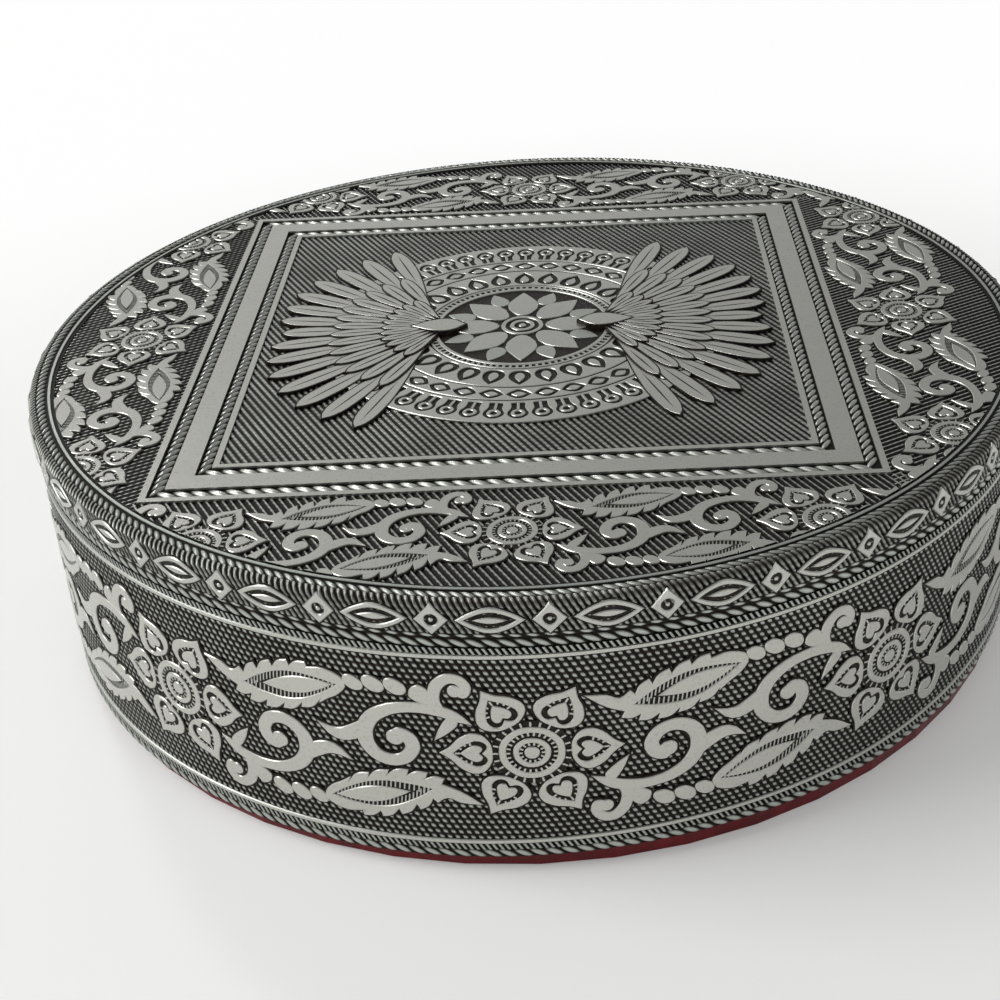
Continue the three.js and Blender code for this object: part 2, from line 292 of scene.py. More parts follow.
MAKERS = {
    "metal": ("oxidised_white_metal", pressed_metal),
    # The oxide finish is both the oxide floor in the motifs' hollows and the painted shadow round their
    # outlines
    "oxide": ("black_oxide_and_shadow_floor", oxide_and_shadow_floor),
    "lacquer": ("red_lacquer", red_lacquer),
    "board": ("raw_fibreboard", fibreboard),
    "velvet": ("cotton_velvet", lambda tree, colours: pile(tree, colours.velvet, tuft=0.5, sheen=0.35)),
    "felt": ("wool_felt", lambda tree, colours: pile(tree, colours.felt, tuft=0.9, sheen=0.15)),
    "paper": ("studio_paper", studio_paper),
}


@functools.cache
def finish(name):
    """Makes each finish once, when the first piece asks for it."""
    title, maker = MAKERS[name]
    material = bpy.data.materials.new(title)
    material.use_nodes = True
    tree = material.node_tree
    tree.nodes.clear()
    shader = maker(tree, bpy.context.scene.trinket_colours)
    add_node(tree, "OutputMaterial", links={"Surface": shader})
    return material


# Flat motifs, drawn in millimetres with X along the strip, Y across it and Z out of the sheet


def spokes(radius, count):
    """Places round the origin, each with its turn."""
    turns = [tau * i / count for i in range(count)]
    return [(radius * cos(a), radius * sin(a), a) for a in turns]


def circle(x, y, radius, points=8):
    """A round outline."""
    return [(x + u, y + v) for u, v, _ in spokes(radius, points)]


def leaning(x, y, radius):
    """A round outline that leans back a little, as the pressed beads do."""
    return [(u - 0.35 * (v - y), y + 0.92 * (v - y)) for u, v in circle(x, y, radius)]


def square(half):
    """A square outline with sharp corners."""
    return [(x * half, y * half, "sharp") for x, y in ((-1, -1), (1, -1), (1, 1), (-1, 1))]


def pointed_oval(start, end, half_width):
    """An outline with two sharp ends and bulging sides."""
    start, end = Vector(start), Vector(end)
    across = Vector((start.y - end.y, end.x - start.x)).normalized() * half_width
    spots = [(start.lerp(end, share), across * sin(pi * share)) for share in (0.2, 0.5, 0.8)]
    near = [tuple(spot + bulge) for spot, bulge in spots]
    far = [tuple(spot - bulge) for spot, bulge in reversed(spots)]
    return [(*start, "sharp"), *near, (*end, "sharp"), *far]


def moved(outline, x=0.0, y=0.0, turn=0.0, scale=1.0):
    """A copy of an outline, scaled, turned and then moved."""
    c, s = cos(turn) * scale, sin(turn) * scale
    return [(x + c * p[0] - s * p[1], y + s * p[0] + c * p[1], *p[2:]) for p in outline]


def ring_of(outline, count, turn=0.0):
    """Copies of an outline set round the origin."""
    return [moved(outline, turn=tau * i / count + turn) for i in range(count)]


def mirrored(half):
    """Closes an outline that is symmetrical about its X axis from its upper half."""
    lower = [(p[0], -p[1], *p[2:]) for p in reversed(half) if p[1] > 0]
    return half + lower


def stroke(line):
    """The outline of a stroke along [x, y, half width] points; thin ends come to a point."""
    left, right = [], []
    for i, (x, y, half) in enumerate(line):
        before, after = line[max(i - 1, 0)], line[min(i + 1, len(line) - 1)]
        along = Vector((after[0] - before[0], after[1] - before[1])).normalized()
        if half < 0.2:
            left.append((x, y, "sharp"))
        else:
            left.append((x - along.y * half, y + along.x * half))
            right.append((x + along.y * half, y - along.x * half))
    return left + right[::-1]


def scalloped(tips, bulge):
    """An edge of curved teeth: each [tip, notch] pair is joined with a bulging back."""
    edge = []
    for (tip, notch), (next_tip, _) in zip(tips, tips[1:] + [(None, None)]):
        edge += [(*tip, "sharp"), (*notch, "sharp")]
        if next_tip:
            start, end = Vector(notch), Vector(next_tip)
            off = Vector((start.y - end.y, end.x - start.x)) * bulge
            edge.append(tuple(start.lerp(end, 0.5) + off))
    return edge


def placed(name, data):
    """Puts an object with this data into the scene."""
    thing = bpy.data.objects.new(name, data)
    bpy.context.collection.objects.link(thing)
    return thing


def plates(outlines, crown, edge=0.12, resolution=3, grow=0.0):
    """Raised plates cut to closed outlines, with the soft upper edge that pressing leaves."""
    curve = bpy.data.curves.new("plates", "CURVE")
    curve.dimensions = "2D"
    curve.fill_mode = "BOTH"
    curve.resolution_u = resolution
    curve.extrude = crown - edge
    curve.bevel_depth = edge
    curve.bevel_resolution = 0
    curve.offset = grow - edge
    for outline in outlines:
        spline = curve.splines.new("BEZIER")
        spline.bezier_points.add(len(outline) - 1)
        spline.use_cyclic_u = True
        for point, place in zip(spline.bezier_points, outline):
            point.co = (place[0], place[1], 0)
            handle = "VECTOR" if "sharp" in place else "AUTO"
            point.handle_left_type = handle
            point.handle_right_type = handle
    holder = placed("plates", curve)
    mesh = bpy.data.meshes.new_from_object(holder.evaluated_get(bpy.context.evaluated_depsgraph_get()))
    bpy.data.objects.remove(holder)
    bpy.data.curves.remove(curve)
    return mesh


def shadow_floors(outlines, height, grow=0.3):
    """Low plates that reach a little beyond their outlines: oxide in a motif's holes, painted shadow round
    it.
    """
    return plates(outlines, height, edge=0.03, grow=grow)


def ticks(places, length, width, crown):
    """Short bars at [x, y, turn] places, as the press hatches a groove."""
    bm = bmesh.new()
    for x, y, turn in places:
        size = Matrix.Diagonal((length, width, crown * 2, 1))
        spot = Matrix.Translation((x, y, 0)) @ Matrix.Rotation(turn, 4, "Z") @ size
        bmesh.ops.create_cube(bm, size=1, matrix=spot)
    return kept(bm)


def kept(bm, name="part"):
    """Keeps a finished bmesh as a mesh."""
    mesh = bpy.data.meshes.new(name)
    bm.to_mesh(mesh)
    bm.free()
    return mesh


def put(bm, mesh, place=None, floor=False):
    """Adds a part to a growing sheet; a floor part takes the second material slot."""
    first_vert, first_face = len(bm.verts), len(bm.faces)
    bm.from_mesh(mesh)
    if place is not None:
        bmesh.ops.transform(bm, matrix=place, verts=bm.verts[first_vert:])
    if floor:
        for face in bm.faces[first_face:]:
            face.material_index = 1


def lifted(bm, x=0.0, y=0.0, z=0.0):
    """Moves a flat part to its place and hands it back."""
    bmesh.ops.translate(bm, vec=(x, y, z), verts=bm.verts)
    return bm


def cut(bm, point, normal, near=1e-5, away=True):
    """Cuts a part along a plane, and takes away what lies beyond it."""
    whole = [*bm.verts, *bm.edges, *bm.faces]
    bmesh.ops.bisect_plane(bm, geom=whole, dist=near, plane_co=point, plane_no=normal, clear_outer=away)


def open_below(bm):
    """Takes off the undersides, which lie in the ground and show from no side."""
    cut(bm, (0, 0, -0.05), (0, 0, -1))


def slice_along(bm, start, end, step):
    """Cuts a flat part every few millimetres of its length, so that it can be bent."""
    for i in range(1, int((end - start) / step) + 1):
        cut(bm, (start + i * step, 0, 0), (1, 0, 0), near=1e-4, away=False)


def trimmed(bm, length, width):
    """Cuts a ground that is centred on the origin to its size."""
    for side, reach in (((1, 0, 0), length / 2), ((0, 1, 0), width / 2)):
        outward = Vector(side)
        cut(bm, outward * reach, outward)
        cut(bm, -outward * reach, -outward)
    return bm


def grid(columns, rows, half=0.5):
    """A flat grid round the origin, with its half side."""
    bm = bmesh.new()
    bmesh.ops.create_grid(bm, x_segments=columns, y_segments=rows, size=half)
    return bm


def ribs(length, width, pitch, sizes, notch, level=0.55, low=-0.3, shoulder=1.0):
    """A ground of slanting ribs with a notch at every row, which makes it a knurl."""
    columns = ceil((length + abs(sizes.lean) * width) / pitch) + 2
    rows = ceil(width / sizes.knurl_y) + 2
    bm = grid(columns * 3, rows * 2)
    for vert in bm.verts:
        across = round((vert.co.x + 0.5) * columns * 3) % 3
        if across:
            full = round((vert.co.y + 0.5) * rows * 2) % 2
            vert.co.z = sizes.knurl_rise * (1 if full else notch) * (shoulder if across == 1 else 1)
    slant = Matrix.Identity(4)
    slant[0][1] = sizes.lean
    spread = Matrix.Diagonal((columns * pitch, rows * sizes.knurl_y, 1, 1))
    bm.transform(slant @ spread)
    return shaded(trimmed(bm, length, width), sizes.knurl_rise, level, low)


def shaded(bm, crown, level=1.0, low=0.0):
    """Stores how far each point stands out of the ground, which the metal's finish follows."""
    layer = bm.verts.layers.float.get(PRESSED) or bm.verts.layers.float.new(PRESSED)
    for vert in bm.verts:
        vert[layer] = low + (level - low) * max(0.0, min(1.0, vert.co.z / crown))
    return bm


def rope(length, pitch, width, rise, level=0.95, low=0.0, thinness=0.6):
    """A row of long slanting strands that lie against each other, as a twisted cord is pressed."""
    strand = grid(4, 6)
    lean = width * 1.3
    for vert in strand.verts:
        u, v = vert.co.x, vert.co.y
        taper = 1 - 1.3 * v * v
        height = rise * max(0.0, cos(pi * u) * cos(pi * v * 0.96)) ** thinness
        vert.co = (u * pitch * taper - lean * v, v * width, height)
    mesh = kept(strand)
    count = round(length / pitch)
    bm = bmesh.new()
    for i in range(count):
        put(bm, mesh, Matrix.Translation(((i + 0.5) * length / count - length / 2, 0, 0)))
    return shaded(bm, rise, level, low)


def line_ridge(length, width, rise, level=0.9):
    """A plain flat-topped ridge along a strip."""
    bm = grid(round(length / 3), 1)
    bm.transform(Matrix.Diagonal((length, width, 1, 1)))
    bm.normal_update()
    top = bmesh.ops.inset_region(bm, faces=bm.faces, thickness=width * 0.2, use_boundary=True)
    sides = set(top["faces"])
    for face in bm.faces:
        if face not in sides:
            for vert in face.verts:
                vert.co.z = rise
    return shaded(bm, rise, level)


def bent_round(bm, radius, height):
    """Bends a flat strip round the box: X becomes the way round and Y the height."""
    for vert in bm.verts:
        angle = vert.co.x / radius
        out = radius + vert.co.z
        vert.co = (out * sin(angle), -out * cos(angle), height + vert.co.y)


def bent_over_rim(bm, radius, lower, side, fold):
    """Bends a flat strip up the rim's side, over its folded edge and in on top of the lid."""
    arc = fold * pi / 2
    for vert in bm.verts:
        angle, up, lift = vert.co.x / radius, vert.co.y, vert.co.z
        if up <= side:
            out, height = radius + lift, lower + up
        elif up <= side + arc:
            turn = (up - side) / fold
            out = radius - fold + (fold + lift) * cos(turn)
            height = lower + side + (fold + lift) * sin(turn)
        else:
            out, height = radius - fold - (up - side - arc), lower + side + fold + lift
        vert.co = (out * sin(angle), -out * cos(angle), height)


def wandering(bm, amount):
    """Lets the wall strip's lower edge rise towards the front right, as it was laid by hand askew."""
    for vert in bm.verts:
        share = (WALL_UPPER - vert.co.z) / (WALL_UPPER - WALL_LOWER)
        angle = atan2(vert.co.x, -vert.co.y)
        rise = (0.5 + 0.5 * cos(angle - RISE_AT)) ** 3
        vert.co.z += amount * share * (rise + RISE_WOBBLE * sin(7 * angle))
    return bm


def spun(profile):
    """A closed ring or disc turned from a closed profile of [radius, height] points."""
    steps = bpy.context.scene.trinket_sizes.rounds
    bm = bmesh.new()
    verts = [bm.verts.new((radius, 0, height)) for radius, height in profile]
    edges = [bm.edges.new(pair) for pair in zip(verts, verts[1:] + verts[:1])]
    line = [*verts, *edges]
    bmesh.ops.spin(bm, geom=line, cent=(0, 0, 0), axis=(0, 0, 1), angle=tau, steps=steps, use_merge=True)
    bmesh.ops.remove_doubles(bm, verts=bm.verts, dist=1e-4)
    bmesh.ops.recalc_face_normals(bm, faces=bm.faces)
    return bm


def as_object(name, bm, body, finishes, replaces=(), angle=SMOOTH_ANGLE):
    """Turns a mesh in millimetres into a piece that rides on a body, in its first finish's slot."""
    bmesh.ops.scale(bm, vec=(MM, MM, MM), verts=bm.verts)
    mesh = kept(bm, name)
    mesh.shade_smooth()
    mesh.set_sharp_from_angle(angle=radians(angle))
    for key in finishes:
        mesh.materials.append(finish(key))
    piece = placed(name, mesh)
    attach(piece, body)
    if replaces:
        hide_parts(*replaces)
    return piece


# The scroll strip: one flower, then two halves that are the same shape turned about the cell's middle

PETAL = mirrored([(5.75, 0), (6.2, 2.3), (8.0, 3.85), (10.4, 3.0), (12.0, 1.2), (13.6, 0, "sharp")])
HEART = mirrored([(-1.25, 0, "sharp"), (-2.0, 1.25), (-1.0, 2.35), (0.9, 1.8), (3.0, 0, "sharp")])
FLOWER_RADIUS = 14
HEART_AT = 8.55
HEART_CORE = 0.66
FLOWER_RINGS = (4.9, 3.8, 2.8, 1.9, 1.15)
HATCH_RINGS = ((3.5, 26, 0.6), (1.65, 14, 0.5), (5.4, 24, 0.8))

STEM = [
    (8.4, -5.4, 0.1), (10.7, -6.8, 0.85), (12.9, -7.8, 1.0), (17.7, -8.2, 0.95), (21.7, -7.0, 1.1),
    (24.1, -4.7, 1.25), (24.8, -1.9, 1.3), (23.9, 0.6, 1.2), (22.0, 1.9, 1.15), (19.8, 1.9, 1.1),
    (18.1, 0.6, 1.1), (17.6, -1.4, 1.15), (18.8, -2.9, 1.2), (20.2, -2.7, 1.1),
]
TAIL = [(23.6, -4.9, 0.5), (24.8, -3.6, 1.2), (26.6, -2.3, 1.35), (29.4, -1.6, 1.05), (32.4, -3.3, 0.1)]
BLADE = [(10.9, -6.4, 0.6), (12.4, -4.5, 0.85), (14.2, -2.2, 0.1)]
CURL = [
    (12.7, -7.4, 0.6), (13.6, -9.2, 0.9), (13.6, -11.2, 0.95), (12.6, -13.1, 0.95), (10.9, -13.9, 0.9),
    (9.3, -13.1, 0.85), (9.0, -11.7, 0.85), (9.9, -10.9, 0.8),
]
DROP = [(13.9, -8.7, 0.1), (14.9, -9.9, 1.1), (15.9, -10.9, 1.5), (16.7, -11.5, 1.15)]
BALLS = ((20.1, -2.3, 1.4), (10.5, -11.6, 1.1))
BEADS = ((19.3, -11.8, 1.62), (22.6, -11.9, 1.62), (25.7, -11.7, 1.5))
LEAF_TOP = [
    ((31.6, -6.6), (31.4, -7.2)), ((34.7, -5.2), (34.5, -6.0)), ((37.9, -4.2), (37.6, -5.1)),
    ((41.0, -3.7), (40.7, -4.8)), ((43.9, -4.0), (43.5, -5.2)), ((46.4, -5.0), (45.9, -6.1)),
]
LEAF_LOWER = [
    ((45.0, -9.9), (44.3, -9.1)), ((42.2, -11.5), (41.7, -10.5)), ((39.2, -12.8), (38.8, -11.8)),
    ((36.1, -13.7), (35.8, -12.7)), ((33.0, -14.0), (32.8, -13.1)),
]
EYE = ((28.3, -10.8), (44.4, -7.2))
EYE_HALF = 2.45
EYE_TICKS = 24
LENS = ((28.9, -10.7), (41.0, -8.0))
LENS_HALF = 1.55


def leaf_outline(spike):
    """The toothed leaf; a spike above zero draws its teeth out and cuts its notches deeper."""
    top, lower = (
        [((tip[0], tip[1] + side * spike), (notch[0], notch[1] - side * spike / 2)) for tip, notch in teeth]
        for teeth, side in ((LEAF_TOP, 1), (LEAF_LOWER, -1))
    )
    root = [(26.9, -11.4), (28.0, -9.2), (29.9, -7.9)]
    tip = [(48.6, -7.4), (51.8, -10.0, "sharp"), (48.4, -9.6), (46.6, -8.8)]
    return [*root, *scalloped(top, 0.16), *tip, *scalloped(lower, 0.14), (29.9, -13.4)]


def flower_parts(crown, shadow_floor):
    """One six-petalled flower: bright plates, their dark floor with its painted shadow, and the hatching."""
    bright, hatch = [], []
    for i in range(6):
        turn = tau * i / 6
        for shape in (PETAL, moved(HEART, HEART_AT), moved(HEART, HEART_AT, scale=HEART_CORE)):
            bright.append(moved(shape, turn=turn))
        for j in range(-3, 4):
            spoke = tau * j / 14
            reach = 1.8 + 0.55 * cos(spoke)
            place = (HEART_AT + reach * cos(spoke), reach * sin(spoke))
            hatch.append((*moved([place], turn=turn)[0], turn + spoke))
    rings = [circle(0, 0, radius) for radius in FLOWER_RINGS]
    # Petal floors: oxide in the hearts, a painted shadow 0.3 mm round the petals; the disc: oxide under the
    # rings
    floors = [shadow_floors(bright[::3], shadow_floor), shadow_floors([circle(0, 0, 6.0)], shadow_floor * 0.97, grow=0.0)]
    hatchings = [(hatch, 0.8)] + [(spokes(radius, count), length) for radius, count, length in HATCH_RINGS]
    tops = [plates(bright, crown), plates(rings, crown)]
    tops += [ticks(places, length, width=0.3, crown=crown * 0.85) for places, length in hatchings]
    return tops, floors


def branch_parts(crown, shadow_floor, spike):
    """Stem, curls, beads and leaf of half a cell."""
    leaf = leaf_outline(spike)
    eye, lens = pointed_oval(*EYE, EYE_HALF), pointed_oval(*LENS, LENS_HALF)
    lines = [stroke(line) for line in (STEM, TAIL, BLADE, CURL, DROP)]
    rounds = [circle(*ball) for ball in BALLS] + [leaning(*bead) for bead in BEADS]
    start, end = map(Vector, EYE)
    lean = atan2(end.y - start.y, end.x - start.x)
    across = Vector((-sin(lean), cos(lean)))
    # The eye's ticks stand inside its edge and lean with the leaf
    hatch = []
    for i in range(1, EYE_TICKS):
        share = i / EYE_TICKS
        reach = EYE_HALF * sin(pi * share) - 0.5
        for side in (-1, 1):
            spot = start.lerp(end, share) + across * reach * side
            hatch.append((spot.x, spot.y, lean + pi / 2 - 0.35))
    # Plates that overlap differ a little in height, so that no two of their faces lie in one plane
    tops = [plates([leaf, eye, lens], crown), plates(rounds, crown * 0.98)]
    tops += [plates([line], crown * (1 - 0.006 * i)) for i, line in enumerate(lines)]
    tops.append(ticks(hatch, length=1.5, width=0.22, crown=crown * 0.75))
    # The floors show as oxide in the leaf's eye and reach 0.3 mm beyond each outline as a painted shadow
    floors = [shadow_floors([leaf], shadow_floor), shadow_floors(rounds, shadow_floor * 0.98)]
    floors += [shadow_floors([line], shadow_floor * (0.96 - 0.01 * i)) for i, line in enumerate(lines)]
    return tops, floors


def scroll_cell(crown, shadow_floor, pitch, bend_step=None, spike=0.0):
    """One repeat of the scroll strip as a mesh, from one flower to the next."""
    bm = bmesh.new()
    half_turn = Matrix.Translation((pitch, 0, 0)) @ Matrix.Rotation(pi, 4, "Z")
    branch = branch_parts(crown, shadow_floor, spike)
    for (tops, floors), place in ((flower_parts(crown, shadow_floor), None), (branch, None), (branch, half_turn)):
        for part in tops:
            put(bm, part, place)
        for part in floors:
            put(bm, part, place, floor=True)
    open_below(bm)
    if bend_step:
        slice_along(bm, -FLOWER_RADIUS, pitch, bend_step)
    return kept(shaded(bm, crown))


class TRINKET_OT_wall_strip(bpy.types.Operator):
    """The embossed strip round the wall: ground, scroll work, ropes, teeth and ridges"""

    bl_idname = "trinket.wall_strip"
    bl_label = "Wall Strip"

    def execute(self, context):
        sizes = context.scene.trinket_sizes
        ground = WALL_RADIUS - sizes.relief
        inner = ground - sizes.sheet
        length = tau * ground
        lower, upper = WALL_LOWER, WALL_UPPER
        middle = (lower + upper) / 2
        half = (upper - lower) / 2
        rope_pitch, teeth_pitch = 2.35, 0.95
        rope_width, teeth_width, ridge_width, gap = 1.7, 1.1, 0.95, 0.1
        field_half = half - rope_width - teeth_width - ridge_width - gap
        body = spun([(inner, lower), (ground, lower), (ground, upper), (inner, upper)])
        as_object("wall_strip", wandering(body, sizes.wander), "box", ["metal"], ["wall_sheet"])

        field = ribs(length, field_half * 2, sizes.knurl_x, sizes, notch=0.5, level=0.66)
        bent_round(field, ground, middle)
        as_object("wall_knurl", wandering(field, sizes.wander), "box", ["metal"], angle=ALL_SMOOTH)

        cell = scroll_cell(sizes.crown, sizes.shadow_floor, sizes.strip_pitch, bend_step=4)
        scroll = bmesh.new()
        reach = ceil(length / 2 / sizes.strip_pitch) + 1
        for i in range(-reach, reach):
            put(scroll, cell, Matrix.Translation((i * sizes.strip_pitch, 0, 0)))
        for side in (-1, 1):
            cut(scroll, (side * length / 2, 0, 0), (side, 0, 0))
        bent_round(scroll, ground, middle)
        as_object("wall_scroll", wandering(scroll, sizes.wander), "box", ["metal", "oxide"])

        rows = bmesh.new()
        for side in (-1, 1):
            edge = side * half
            cord = rope(length, rope_pitch, rope_width, sizes.relief, level=0.74)
            put(rows, kept(lifted(cord, y=edge - side * rope_width / 2)))
            edge -= side * (rope_width + teeth_width / 2)
            teeth = ribs(length, teeth_width, teeth_pitch, sizes, notch=1.0)
            put(rows, kept(lifted(teeth, y=edge)))
            edge -= side * (teeth_width + ridge_width) / 2
            put(rows, kept(lifted(line_ridge(length, ridge_width, sizes.relief), y=edge)))
        bent_round(rows, ground, middle)
        as_object("wall_border_rows", wandering(rows, sizes.wander), "box", ["metal"])
        return {"FINISHED"}


# How far the chain's middle lies above the rim's lower edge, and its turn in degrees
CHAIN_HEIGHT = 3.2
CHAIN_TURN = -2.9


class TRINKET_OT_rim_band(bpy.types.Operator):
    """The rim band of the lid: a chain of ovals and lozenges under a folded, roped flange"""

    bl_idname = "trinket.rim_band"
    bl_label = "Rim Band"

    def execute(self, context):
        sizes = context.scene.trinket_sizes
        ground, flange = LID_RADIUS - sizes.relief, LID_TOP - sizes.relief
        inner, under = ground - sizes.sheet, flange - sizes.sheet
        fold = 0.8
        side = flange - fold - LID_LOWER
        length = tau * ground
        edge = [pi / 2 * i / 6 for i in range(7)]
        fold_line = [(ground - fold * (1 - cos(a)), flange - fold * (1 - sin(a))) for a in edge]
        top = [(FLANGE_INNER, flange), (FLANGE_INNER, under), (inner, under)]
        body = spun([(inner, LID_LOWER), (ground, LID_LOWER), *fold_line, *top])
        as_object("rim_band", body, "lid", ["metal"], ["lid_rim_band"])

        # Widths of the rows, from the lower edge up and inwards
        lower_rope, upper_rope, ridge_width, gap = 0.9, 1.6, 0.7, 0.3
        knurl_end = side + fold * pi / 2 + 0.2
        knurl_width = knurl_end - lower_rope
        ridge_at = knurl_end + upper_rope + gap + ridge_width / 2
        knurl = ribs(length, knurl_width, 1.0, sizes, notch=0.75, level=0.5, low=0.05)
        low_cord = rope(length, 2.5, lower_rope, sizes.relief * 0.8, level=0.85, low=-0.1, thinness=1.3)
        top_cord = rope(length, 1.7, upper_rope, sizes.relief, level=0.7, low=0.1)
        ridge = line_ridge(length, ridge_width, sizes.relief * 0.7, level=0.6)
        strip = bmesh.new()
        for row, row_at in (
            (knurl, lower_rope + knurl_width / 2),
            (low_cord, lower_rope / 2),
            (top_cord, knurl_end + upper_rope / 2),
            (ridge, ridge_at),
        ):
            put(strip, kept(lifted(row, y=row_at)))
        bent_over_rim(strip, ground, LID_LOWER, side, fold)
        as_object("rim_strip", strip, "lid", ["metal"])

        chain = bmesh.new()
        crown = sizes.crown * 0.85
        link = length / sizes.chain_pairs
        ovals = [pointed_oval((-x, 0), (x, 0), half) for x, half in ((4.95, 2.15), (3.7, 1.35), (2.5, 0.55))]
        corners = [(-2.45, 0, "sharp"), (0, 2.5, "sharp"), (2.45, 0, "sharp"), (0, -2.5, "sharp")]
        lozenge = moved(corners, link / 2)
        hole, dot = circle(link / 2, 0, 0.95), circle(link / 2, 0, 0.35)
        bright = plates([*ovals, lozenge, hole, dot], crown, edge=0.14)
        # The dark floor is oxide inside the ovals and the lozenge's hole, and 0.22 mm round them a painted
        # shadow
        dark = shadow_floors([ovals[0], lozenge], 0.3, grow=0.22)
        for i in range(sizes.chain_pairs):
            at = Matrix.Translation(((i - sizes.chain_pairs / 2) * link, 0, 0))
            put(chain, bright, at)
            put(chain, dark, at, floor=True)
        open_below(chain)
        slice_along(chain, -length / 2, length / 2, step=2.5)
        lifted(shaded(chain, crown, level=0.85), y=CHAIN_HEIGHT)
        bent_over_rim(chain, ground, LID_LOWER, side, fold)
        chain.transform(Matrix.Rotation(radians(CHAIN_TURN), 4, "Z"))
        as_object("rim_chain", chain, "lid", ["metal", "oxide"])
        return {"FINISHED"}


# The front and right segments show ribs, and the back and left ones a knurl
SEGMENT_NOTCHES = (0.92, 0.92, 0.78, 0.78)


def clip_round(bm, towards):
    """Trims a segment to the flange's inner edge, with planes square to the way out."""
    planes, spread = 40, radians(110)
    for i in range(planes + 1):
        a = towards + (i / planes - 0.5) * spread
        outward = Vector((cos(a), sin(a), 0))
        cut(bm, outward * FLANGE_INNER, outward)
    return bm


class TRINKET_OT_lid_scroll(bpy.types.Operator):
    """The four segments of the lid between the panel and the rim, with the scroll strip on them"""

    bl_idname = "trinket.lid_scroll"
    bl_label = "Lid Scroll Segments"

    def execute(self, context):
        sizes = context.scene.trinket_sizes
        ground = BOARD_TOP + sizes.sheet
        profile = [(0, BOARD_TOP), (BOARD_RADIUS, BOARD_TOP), (BOARD_RADIUS, ground), (0, ground)]
        as_object("lid_sheet", spun(profile), "lid", ["metal"], ["lid_top_sheet"])

        scale = sizes.lid_scale
        cell = scroll_cell(sizes.crown / scale, sizes.shadow_floor / scale, sizes.strip_pitch, spike=0.6)
        # Each field is larger than its segment and is trimmed to the round edge
        length, depth = 150, 32
        centre = Matrix.Translation((sizes.panel_x, sizes.panel_y, 0))
        fields, scrolls = bmesh.new(), bmesh.new()
        for i in range(4):
            place = centre @ Matrix.Rotation(pi / 2 * i, 4, "Z")
            towards = pi / 2 * (i - 1)
            field = ribs(length, depth, 1.25, sizes, SEGMENT_NOTCHES[i], level=1.0, low=-1.8, shoulder=0.66)
            lifted(field, y=-sizes.panel_half - depth / 2)
            field.transform(place)
            put(fields, kept(clip_round(field, towards)))
            segment = bmesh.new()
            strip = Matrix.Translation((0, -sizes.strip_out, 0)) @ Matrix.Scale(scale, 4)
            for j in range(-2, 2):
                put(segment, cell, place @ strip @ Matrix.Translation((j * sizes.strip_pitch, 0, 0)))
            put(scrolls, kept(clip_round(segment, towards)))
        as_object("lid_ribs", lifted(fields, z=ground), "lid", ["metal"], angle=ALL_SMOOTH)
        as_object("lid_scroll", lifted(scrolls, z=ground), "lid", ["metal", "oxide"])
        return {"FINISHED"}


# The strands of the panel's front and back ropes are longer than those of its sides
ROPE_PITCHES = (2.7, 1.95)


def on_panel(bm):
    """Moves a part from the origin to the panel's middle, on the lid's sheet."""
    sizes = bpy.context.scene.trinket_sizes
    return lifted(bm, sizes.panel_x, sizes.panel_y, BOARD_TOP + sizes.sheet)


class TRINKET_OT_panel(bpy.types.Operator):
    """The square panel of the lid: ridges, ropes, the plain band and the ribbed field"""

    bl_idname = "trinket.panel"
    bl_label = "Square Panel"

    def execute(self, context):
        sizes = context.scene.trinket_sizes
        crown = sizes.crown
        outer, gap = sizes.panel_half, 0.15
        flats, rows = bmesh.new(), bmesh.new()
        # The frames with their widths, from the outside in
        for kind, width in (("ridge", 1.1), ("rope", 2.2), ("band", 3.9), ("rope", 2.0), ("ridge", 1.0)):
            if kind == "rope":
                middle = outer - width / 2
                long = middle * 2 - width * 0.4
                for i in range(4):
                    cord = rope(long, ROPE_PITCHES[i % 2], width, crown * 0.95, level=0.9, low=0.05)
                    put(rows, kept(lifted(cord, y=-middle)), Matrix.Rotation(pi / 2 * i, 4, "Z"))
            else:
                put(flats, plates([square(outer), square(outer - width)], crown, edge=0.0, resolution=1))
            outer -= width + gap
        open_below(flats)
        as_object("panel_frames", on_panel(shaded(flats, crown, level=0.97)), "lid", ["metal"])
        as_object("panel_ropes", on_panel(rows), "lid", ["metal"])

        length = 2 * (outer + gap)
        field = ribs(length, length, 1.3, sizes, notch=0.86, level=0.64, low=-0.25, shoulder=0.75)
        # The medallion covers the field's middle, which is left out up to 1.5 mm from its edge
        hidden = [f for f in field.faces if f.calc_center_median().xy.length < sizes.medallion - 1.5]
        bmesh.ops.delete(field, geom=hidden, context="FACES")
        as_object("panel_field", on_panel(field), "lid", ["metal"], angle=ALL_SMOOTH)
        return {"FINISHED"}


# The medallion's motifs, each with its number round the middle

ARCH_COUNT = 52
ARCH = mirrored([(30.5, 0.0), (30.6, 1.2, "sharp"), (32.4, 1.2), (34.3, 1.8), (35.8, 0.9), (36.1, 0.0)])
ARCH_RING, ARCH_HOLE = circle(34.1, 0, 1.25), circle(34.1, 0, 0.62)
ARCH_STEM = [(30.4, -0.26, "sharp"), (33.2, -0.26, "sharp"), (33.2, 0.26, "sharp"), (30.4, 0.26, "sharp")]
LOZENGE_COUNT = 36
LOZENGE = pointed_oval((27.35, -2.2), (27.35, 2.2), 1.65)
LOZENGE_CORE = pointed_oval((27.35, -1.3), (27.35, 1.3), 0.85)
PETAL_COUNT = 28
BAND_PETAL = mirrored([(18.7, 0), (19.1, 1.4), (20.8, 1.95), (22.5, 1.3), (24.0, 0, "sharp")])
BAND_PETAL_CORE = mirrored([(19.5, 0), (19.7, 0.55), (20.8, 0.9), (21.8, 0.6), (22.8, 0, "sharp")])
LOTUS_COUNT = 8
LOTUS = mirrored([(4.2, 0), (5.4, 1.7), (9.0, 2.9), (12.0, 1.7), (14.6, 0, "sharp")])
